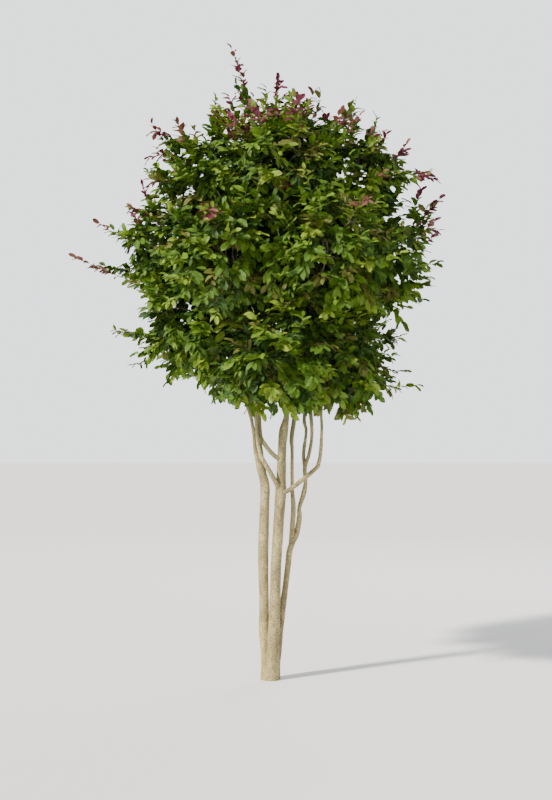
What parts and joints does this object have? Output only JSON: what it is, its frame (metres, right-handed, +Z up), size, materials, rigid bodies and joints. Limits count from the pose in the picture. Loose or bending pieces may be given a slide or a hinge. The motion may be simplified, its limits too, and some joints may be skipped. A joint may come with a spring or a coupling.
{
  "type": "persian ironwood tree",
  "caption": "Young upright broadleaf tree: bare pale stems from one foot, boughs that cross and bend, and a dense rounded crown with long shoots.",
  "frame": {"origin": "middle of the flat cut under the trunk, at ground level", "axes": "+Z up the trunk, the front of the tree towards -Y, +X to the right of the front view"},
  "size_m": [2.4796, 1.9875, 4.1884],
  "materials": {
    "bark": "rough pale tan bark with fine cracks, grey-green tints and yellow lichen",
    "foliage": "satin summer leaves, mid to yellow green with bronze and wine-red young tips"
  },
  "bodies": {
    "root": {"bough_cross_high": "bark", "bough_cross_low": "bark", "bough_left_back": "bark", "bough_mid": "bark", "bough_right_back": "bark", "bough_right_high": "bark", "bough_right_low": "bark", "branch_back_left": "bark", "branch_front_right": "bark", "branch_low_front": "bark", "branch_low_right": "bark", "branch_top_front": "bark", "branch_top_left": "bark", "branch_top_right": "bark", "foliage_crown": "foliage", "foliage_low_back_left": "foliage", "foliage_low_back_right": "foliage", "foliage_low_front": "foliage", "foliage_low_left": "foliage", "foliage_low_right": "foliage", "foliage_mid_back_left": "foliage", "foliage_mid_back_right": "foliage", "foliage_mid_front_left": "foliage", "foliage_mid_front_right": "foliage", "foliage_mid_left": "foliage", "foliage_mid_right": "foliage", "foliage_top_back": "foliage", "foliage_top_front": "foliage", "foliage_top_left": "foliage", "foliage_top_right": "foliage", "stem_left": "bark", "stem_middle": "bark", "stem_right": "bark", "trunk": "bark"}
  },
  "joints": []
}
